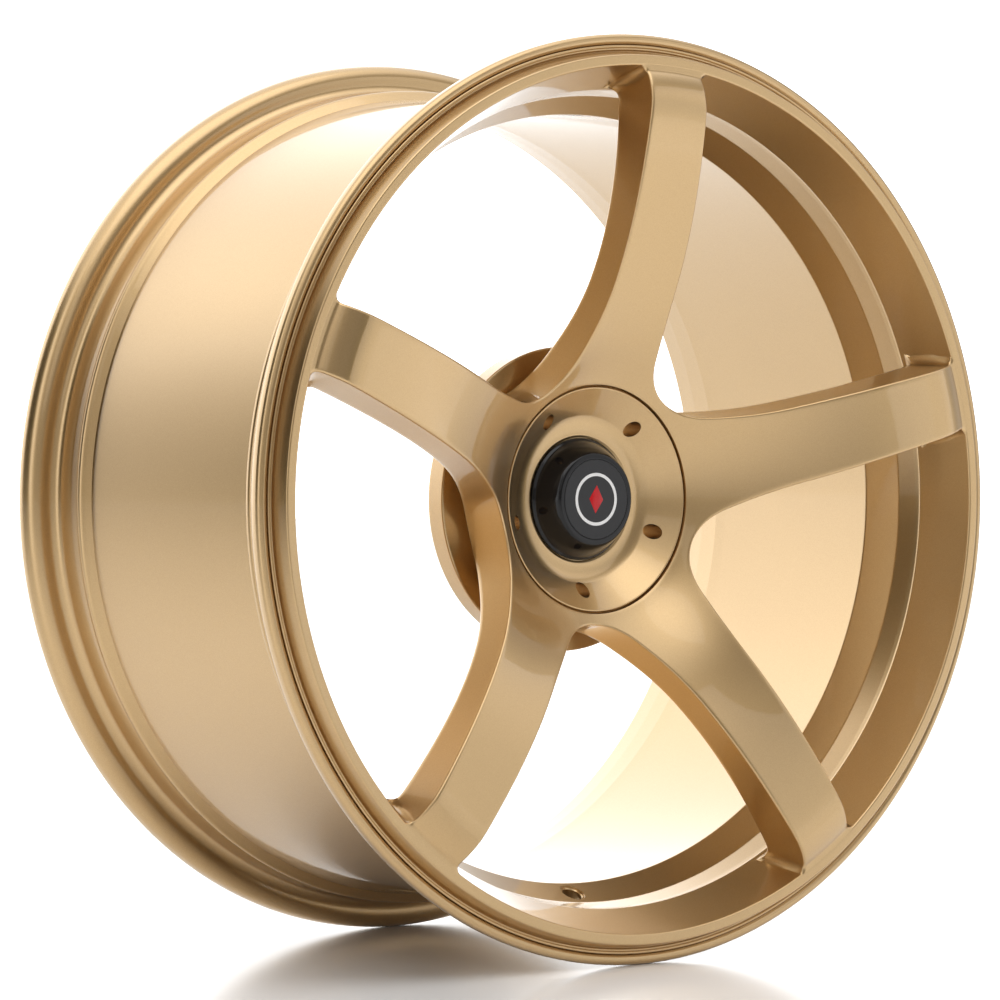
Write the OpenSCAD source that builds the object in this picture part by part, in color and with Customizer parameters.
// Five-spoke forged racing wheel with a snap-in centre cap.
//
// Axle along Y. The origin is the centre of the mounting face, -Y is outboard
// and +Z is up. The wheel is one forging: its zones are kept as separate
// solids that meet face to face. The centre cap is an assembly of its own.
//
// Turned profiles are lists of [radius, depth] points. Depth is measured
// inboard from the widest circle of the outboard flange.

/* [Rim] */
// Nominal rim diameter, inches
rim_diameter_in = 19; // [18:1:20]
// Rim width between the bead seats, inches
rim_width_in = 8.5; // [8:0.5:9.5]
// Distance from the rim's centre plane outboard to the mounting face
wheel_offset = 35; // [25:1:45]
// Height of the flanges above the bead seats
flange_height = 17.5; // [17:0.1:18]
// Thickness of the barrel wall
barrel_wall = 5.8; // [5:0.1:7]

/* [Spokes] */
// Direction of the first spoke's centre line, degrees from +X towards +Z
first_spoke_angle = 86.5; // [80:0.5:100]
// Spoke width where the root flare begins
spoke_root_width = 44.2; // [40:0.1:48]
// Spoke width at the rim
spoke_tip_width = 39.6; // [36:0.1:44]
// How far the spokes stand outboard of the flange at the rim
spoke_crown = 17; // [10:0.5:20]
// Depth of the dish from the spoke crown to the hub groove
dish_depth = 56.8; // [50:0.1:62]
// Corner radius of the windows at the rim
window_corner_r = 5; // [3:0.5:8]

/* [Hub] */
// Radius of the groove round the hub
hub_r = 64; // [62:0.5:66]
// Radius of the mounting pad
pad_r = 86.8; // [84:0.1:88]
// Radius of the centre bore, for the car's spigot
centre_bore_r = 36.3; // [33:0.1:37]
// Depth of the centre bore
centre_bore_depth = 14; // [10:0.5:15]
// Radius of the bore that the cap snaps into
cap_bore_r = 30; // [29:0.5:31]
// Diameter of the circle of pilot holes
pilot_circle = 103; // [100:0.5:108]
// Radius of the pilot holes
pilot_r = 4.35; // [4:0.05:6]
// Direction of the first pilot hole, degrees from +X towards +Z
first_pilot_angle = 50.5; // [40:0.1:60]

/* [Valve hole] */
// Radius of the valve hole
valve_r = 5.65; // [5.65:0.05:5.8]
// Radius of the spot face round the valve hole
valve_face_r = 7.5; // [7:0.1:9]

/* [Centre cap] */
// Radius of the cap's flange
cap_r = 34.7; // [34:0.1:35]
// Radius of the cap's flat face
cap_face_r = 24.5; // [23:0.1:26]
// Height of the cap over its seat
cap_height = 16; // [12:0.5:18]
// Wall thickness of the cap
cap_wall = 2.2; // [1.8:0.1:2.6]
// Number of snap legs
cap_leg_count = 6; // [4:1:8]

/* [Hidden] */
$fn = 96;

gold = [0.76, 0.64, 0.45];
gloss_black = [0.03, 0.03, 0.035];
disc_grey = [0.13, 0.13, 0.14];
spring_steel = [0.62, 0.63, 0.65];
inlay_white = [0.9, 0.9, 0.9];
inlay_red = [0.72, 0.07, 0.1];

// Rim contour
inch = 25.4;
bead_r = rim_diameter_in * inch / 2;
flange_reach = 11.5;
flange_curve_r = 9.5;
flange_nose_r = 3;
bead_fillet_r = 6.5;
bead_taper = tan(5);
hump_height = 1.6;
rim_span = rim_width_in * inch + 2 * flange_reach;
mount_depth = rim_span / 2 - wheel_offset;
flange_curve_c = bead_r + flange_height - flange_curve_r;

// Stations along the barrel
lip_end = 20;
hump_depth = 34.5;
well_start = 57;
well_end = 60;
rear_start = rim_span - 40;
well_drop = 17.5;
well_r = bead_r - well_drop;
barrel_taper = tan(4.9);
far = 400;

// Ring land between the windows and the stepped lip
ring_in_r = bead_r - 0.8;
ring_in_depth = -9.4;
lip_end_r = bead_r - 11.8;
inner_b = [bead_r - 14.3, 36];
inner_a = [well_r - barrel_wall - 0.4, 54.8];

// Spokes
spoke_count = 5;
spoke_pitch = 360 / spoke_count;
crown_r = ring_in_r - 24.5;
groove = 0.7;
groove_depth = dish_depth - spoke_crown;
foot_fillet_r = 4;
// Bezier handles of the dish, as shares of its run and of its depth
dish_root = [0.162, 0.743];
dish_crown = [0.356, 0.16];
// Bezier handles of the roll-over at the rim
roll_crown = [crown_r + 6, -spoke_crown - 0.4];
roll_foot = [ring_in_r - 9.5, -spoke_crown + 1.6];
// Bezier handles of the spokes' backs, at the rim and at the hub
back_rim = [125, 4];
back_hub = [95, 45];
spoke_back_r = 70;
spoke_back_depth = mount_depth - 14.45;
tip_back_depth = 9;
back_fillet_r = 9;

// Where the backs of the spokes run out on the ring land
back_foot = [line_r([ring_in_r, ring_in_depth], [lip_end_r, lip_end], lip_end - 1.5), lip_end - 1.5];

// A window's side, seen on the window's own centre line: a nose at the hub, a
// long flare, a straight side along the spoke and a corner at the rim
half_pitch = spoke_pitch / 2;
root_station = 122;
tip_station = 219;
taper_angle = atan((spoke_root_width - spoke_tip_width) / 2 / (tip_station - root_station));
side_angle = half_pitch + taper_angle;
side_run = [cos(side_angle), sin(side_angle)];
side_normal = [sin(side_angle), -cos(side_angle)];
flare_r = 220;
flare_end = root_station * [cos(half_pitch), sin(half_pitch)]
    + spoke_root_width / 2 * [sin(half_pitch), -cos(half_pitch)];
flare_centre = flare_end + flare_r * side_normal;
nose_angle = 48.5;
nose_end = flare_centre + flare_r * [-sin(nose_angle), cos(nose_angle)];
nose_r = nose_end[1] / cos(nose_angle);
nose_centre = nose_end[0] + nose_r * sin(nose_angle);
corner_overrun = 0.5;
corner_reach = ring_in_r - window_corner_r + corner_overrun;
corner_line = flare_end + window_corner_r * side_normal;
corner_slide = sqrt(pow(corner_line * side_run, 2) - corner_line * corner_line + pow(corner_reach, 2));
corner_centre = corner_line + (corner_slide - corner_line * side_run) * side_run;

// Hub
collar_depth = 55.9;
collar_r = 43.5;
bore_chamfer = 1.5;
pilot_count = 5;
pilot_pitch = 360 / pilot_count;
pocket_r = 9;
pocket_depth = 12;
pocket_circle = 112;

// Valve hole, square to the slope that leads into the drop centre
valve_angle = first_spoke_angle + 2.5 * spoke_pitch;
valve_tilt = atan2(inner_b[0] - inner_a[0], inner_a[1] - inner_b[1]);
valve_normal = [cos(valve_tilt), sin(valve_tilt)];
valve_place = (inner_a + inner_b) / 2;
valve_wall = 7.2;
spot_face_depth = 0.6;

// Centre cap
seat_depth = 57.4;
seat_recess = 1.3;
leg_outer_r = cap_bore_r - 0.1;
leg_wall = 2;
leg_length = 11;
hook_depth = seat_depth + leg_length - 1.5;
spring_grip = 0.05;
spring_wire_r = 0.8;
leg_width = 14;
hook = 1.2;
face_depth = seat_depth - cap_height;
disc_r = cap_face_r - 1.9;
disc_recess = 1.2;
disc_thickness = 1.4;
disc_front = face_depth + disc_recess - disc_thickness;
disc_edge = 0.3;
disc_gap = 0.05;
inlay_sink = 0.3;
inlay_proud = 0.12;
inlay_outer_r = 0.66 * disc_r;
inlay_inner_r = 0.58 * disc_r;
diamond = [8, 5];

function arc(c, r, a0, a1, n = 8) =
    [for (i = [0:n]) let (a = a0 + (a1 - a0) * i / n) c + r * [cos(a), sin(a)]];

function bezier(p0, p1, p2, p3, n = 12) =
    [for (i = [0:n]) let (t = i / n, u = 1 - t)
        u * u * u * p0 + 3 * u * u * t * p1 + 3 * u * t * t * p2 + t * t * t * p3];

// A line's radius at a depth
function line_r(p, q, depth) = p[0] + (q[0] - p[0]) * (depth - p[1]) / (q[1] - p[1]);

// The two faces of the barrel, which narrows towards the drop centre
function barrel_out(depth) = well_r + (depth - well_start) * barrel_taper;
function barrel_in(depth) = inner_a[0] + (depth - inner_a[1]) * barrel_taper;

// Tyre side of one flange from its widest circle to the bead seat, for d = 0 at that circle
function flange_curve() = arc([flange_curve_c, 2], flange_curve_r, 0, 90);
function bead_fillet() = arc([bead_r + bead_fillet_r, flange_reach + bead_fillet_r],
    bead_fillet_r, 270, 180, 6);

// Bead seat and safety hump
function seat_r(depth) = bead_r - (depth - flange_reach - bead_fillet_r) * bead_taper;
function hump() = [
    [seat_r(hump_depth - 3.5), hump_depth - 3.5],
    [bead_r - 0.6 + hump_height / 2, hump_depth - 1.2],
    [bead_r - 0.6 + hump_height / 2, hump_depth + 0.6],
    [bead_r - 1.4, hump_depth + 2.6]
];

// Mirrors a profile from the outboard to the inboard flange
function inboard(points) =
    [for (i = [len(points) - 1:-1:0]) [points[i][0], rim_span - points[i][1]]];

// Turns a [radius, depth] profile about the axle
module turned(points)
    translate([0, -mount_depth, 0])
        rotate([-90, 0, 0])
            rotate_extrude($fn = 240)
                polygon(points);

// Extrudes a front-view outline right through the wheel
module through_outline()
    rotate([90, 0, 0])
        linear_extrude(height = 2 * far, center = true)
            children();

// Places children on a radius at an angle, their Z axis inboard along the axle
module at_angle(angle, radius, depth)
    rotate([0, -angle, 0])
        translate([radius, depth - mount_depth, 0])
            rotate([-90, 0, 0])
                children();

// ---- Rim ----

function lip_profile() = concat(
    [[lip_end_r, lip_end]],
    arc([ring_in_r + 0.9, ring_in_depth - 0.2], 0.9, 170, 262, 4),
    arc([bead_r + 4.2, -9.8], 0.9, 262, 340, 4),
    [[bead_r + 8, -1.4], [bead_r + 8.5, -1.1]],
    arc([bead_r + 10, -1.3], 1.1, 200, 340, 5),
    [[bead_r + 11.6, -0.6], [bead_r + 12.2, -0.5]],
    arc([bead_r + flange_height - flange_nose_r, 0.6], flange_nose_r, 210, 360, 8),
    flange_curve(),
    bead_fillet(),
    [[seat_r(lip_end), lip_end]]
);

module front_lip()
    color(gold)
        turned(lip_profile());

function drop_centre_profile() = concat(
    [[seat_r(lip_end), lip_end]],
    hump(),
    [inner_b + valve_wall * valve_normal, inner_a + valve_wall * valve_normal],
    [[barrel_out(well_end), well_end], [barrel_in(well_end), well_end]],
    [inner_a, inner_b, [lip_end_r, lip_end]]
);

module drop_centre()
    color(gold)
        difference() {
            turned(drop_centre_profile());
            at_angle(valve_angle, valve_place[0], valve_place[1])
                rotate([0, 90 - valve_tilt, 0]) {
                    cylinder(r = valve_r, h = 60, center = true);
                    translate([0, 0, spot_face_depth - 30])
                        cylinder(r = valve_face_r, h = 30);
                }
        }

module barrel_wall_ring()
    color(gold)
        turned([
            [barrel_out(well_end), well_end],
            [barrel_out(rear_start), rear_start],
            [barrel_in(rear_start), rear_start],
            [barrel_in(well_end), well_end]
        ]);

function rear_profile() = concat(
    [[barrel_in(rear_start), rear_start]],
    [[barrel_out(rear_start), rear_start]],
    inboard(concat(
        arc([bead_r + flange_height - flange_nose_r, 0.6], flange_nose_r, 270, 360, 6),
        flange_curve(),
        bead_fillet(),
        hump()
    )),
    [[bead_r + 7.5, rim_span + 3], [bead_r - 4, rim_span + 3], [bead_r - 6, rim_span + 1]],
    [[bead_r - 8.3, rim_span - 14], [bead_r - 10.6, rim_span - 30]]
);

module rear_flange()
    color(gold)
        turned(rear_profile());

// ---- Hub ----

function hub_profile() = [
    [centre_bore_r + bore_chamfer, mount_depth],
    [centre_bore_r, mount_depth - bore_chamfer],
    [centre_bore_r, mount_depth - centre_bore_depth],
    [cap_bore_r + 1.2, mount_depth - centre_bore_depth - 3],
    [cap_bore_r, mount_depth - centre_bore_depth - 4.2],
    [cap_bore_r, seat_depth],
    [cap_r + 0.3, seat_depth],
    [cap_r + 0.3, seat_depth - seat_recess],
    [cap_r + 1.1, collar_depth + 0.1],
    [cap_r + 2.3, collar_depth - 0.1],
    [collar_r - 3, collar_depth - 0.3],
    [collar_r, collar_depth - 0.9],
    [collar_r + 2.2, collar_depth - 1.7],
    [collar_r + 4, collar_depth - 2.9],
    [hub_r - groove, groove_depth + groove],
    [hub_r, groove_depth + 2 * groove],
    [hub_r, spoke_back_depth],
    [pad_r, spoke_back_depth],
    [pad_r, mount_depth - 2],
    [pad_r - 2, mount_depth]
];

module hub()
    color(gold)
        difference() {
            turned(hub_profile());
            for (i = [0:pilot_count - 1]) {
                at_angle(first_pilot_angle + i * pilot_pitch, pilot_circle / 2, 0)
                    cylinder(r = pilot_r, h = far);
                at_angle(first_pilot_angle + (i + 0.5) * pilot_pitch, pocket_circle / 2,
                    mount_depth - pocket_depth)
                    cylinder(r = pocket_r, h = far);
            }
        }

// ---- Spokes ----

// The dished front of the spokes, from the hub groove to the ring land
function dish() = concat(
    [[hub_r, groove_depth + 2 * groove]],
    bezier(
        [hub_r + groove, groove_depth - groove / 2],
        [hub_r + dish_root[0] * (crown_r - hub_r), dish_root[1] * dish_depth - spoke_crown],
        [hub_r + dish_crown[0] * (crown_r - hub_r), dish_crown[1] * dish_depth - spoke_crown],
        [crown_r, -spoke_crown],
        20
    ),
    bezier(
        [crown_r, -spoke_crown],
        roll_crown,
        roll_foot,
        [ring_in_r - 3.8, ring_in_depth - 2.1],
        8
    ),
    arc([ring_in_r - 1.2, ring_in_depth - foot_fillet_r - 1], foot_fillet_r, 128, 95, 4),
    [[ring_in_r, ring_in_depth]]
);

// The backs of the spokes, from the rim to the hub
function spoke_back() = concat(
    arc(back_foot - [back_fillet_r, 0], back_fillet_r, 0, -80, 5),
    bezier(
        [crown_r, tip_back_depth],
        back_rim,
        back_hub,
        [spoke_back_r, spoke_back_depth],
        16
    ),
    [[hub_r, spoke_back_depth]]
);

module window_half() {
    polygon(concat(
        [[nose_centre, 0], nose_end],
        arc(flare_centre, flare_r, 90 + nose_angle, 90 + side_angle, 6),
        [corner_centre - window_corner_r * side_normal, corner_centre],
        [corner_centre * far / norm(corner_centre), [far, 0]]
    ));
    translate(corner_centre)
        circle(r = window_corner_r);
}

module window_outline() {
    window_half();
    mirror([0, 1])
        window_half();
    translate([nose_centre, 0])
        circle(r = nose_r);
}

module spoke(index)
    color(gold)
        intersection() {
            turned(concat(dish(), spoke_back()));
            rotate([0, -first_spoke_angle - (index - 1) * spoke_pitch, 0])
                through_outline()
                    difference() {
                        polygon([[0, 0], far * [1, -tan(half_pitch)], far * [1, tan(half_pitch)]]);
                        for (side = [-1, 1])
                            rotate(side * half_pitch)
                                window_outline();
                    }
        }

// ---- Centre cap ----

function cap_profile() = [
    [cap_r - 0.4, seat_depth],
    [cap_r, seat_depth - 0.4],
    [cap_r, seat_depth - 1.6],
    [cap_r - 0.5, seat_depth - 2.2],
    [cap_face_r + 3, face_depth + 2.4],
    [cap_face_r + 0.6, face_depth + 0.3],
    [cap_face_r, face_depth],
    [disc_r + 0.3, face_depth],
    [disc_r, face_depth + 0.3],
    [disc_r, face_depth + disc_recess],
    [0, face_depth + disc_recess],
    [0, face_depth + disc_recess + cap_wall],
    [cap_face_r - 1.6, face_depth + disc_recess + cap_wall],
    [leg_outer_r - leg_wall, seat_depth - 3],
    [leg_outer_r - leg_wall, seat_depth]
];

// A short length of the leg ring, with the hook that holds the spring ring
function leg_profile() = [
    [leg_outer_r - leg_wall, seat_depth],
    [leg_outer_r, seat_depth],
    [leg_outer_r, seat_depth + leg_length - 2],
    [leg_outer_r - hook, seat_depth + leg_length],
    [leg_outer_r - leg_wall - hook, seat_depth + leg_length],
    [leg_outer_r - leg_wall - hook, hook_depth],
    [leg_outer_r - leg_wall, hook_depth]
];

module cap_shell()
    color(gloss_black) {
        turned(cap_profile());
        intersection() {
            turned(leg_profile());
            through_outline()
                for (i = [0:cap_leg_count - 1])
                    rotate(first_spoke_angle + i * 360 / cap_leg_count)
                        translate([0, -leg_width / 2])
                            square([cap_r, leg_width]);
        }
    }

module cap_spring_ring()
    color(spring_steel)
        translate([0, hook_depth - spring_wire_r - mount_depth, 0])
            rotate([-90, 0, 0])
                rotate_extrude()
                    translate([leg_outer_r - leg_wall - spring_wire_r + spring_grip, 0])
                        circle(r = spring_wire_r, $fn = 24);

module ring_outline()
    difference() {
        circle(r = inlay_outer_r);
        circle(r = inlay_inner_r);
    }

// A diamond whose long axis lies along the first spoke
module diamond_outline()
    rotate(first_spoke_angle)
        polygon([[diamond[0], 0], [0, diamond[1]], [-diamond[0], 0], [0, -diamond[1]]]);

module on_disc(depth, height)
    translate([0, depth + height - mount_depth, 0])
        rotate([90, 0, 0])
            linear_extrude(height = height)
                children();

module cap_face_disc()
    color(disc_grey)
        difference() {
            turned([
                [0, disc_front],
                [disc_r - disc_gap - disc_edge, disc_front],
                [disc_r - disc_gap, disc_front + disc_edge],
                [disc_r - disc_gap, disc_front + disc_thickness],
                [0, disc_front + disc_thickness]
            ]);
            on_disc(disc_front - 1, inlay_sink + 1) {
                ring_outline();
                diamond_outline();
            }
        }

module cap_ring_inlay()
    color(inlay_white)
        on_disc(disc_front - inlay_proud, inlay_sink + inlay_proud)
            ring_outline();

module cap_diamond_inlay()
    color(inlay_red)
        on_disc(disc_front - inlay_proud, inlay_sink + inlay_proud)
            diamond_outline();

front_lip();
drop_centre();
barrel_wall_ring();
rear_flange();
hub();
spoke(1);  // spoke_1
spoke(2);  // spoke_2
spoke(3);  // spoke_3
spoke(4);  // spoke_4
spoke(5);  // spoke_5
cap_shell();
cap_spring_ring();
cap_face_disc();
cap_ring_inlay();
cap_diamond_inlay();
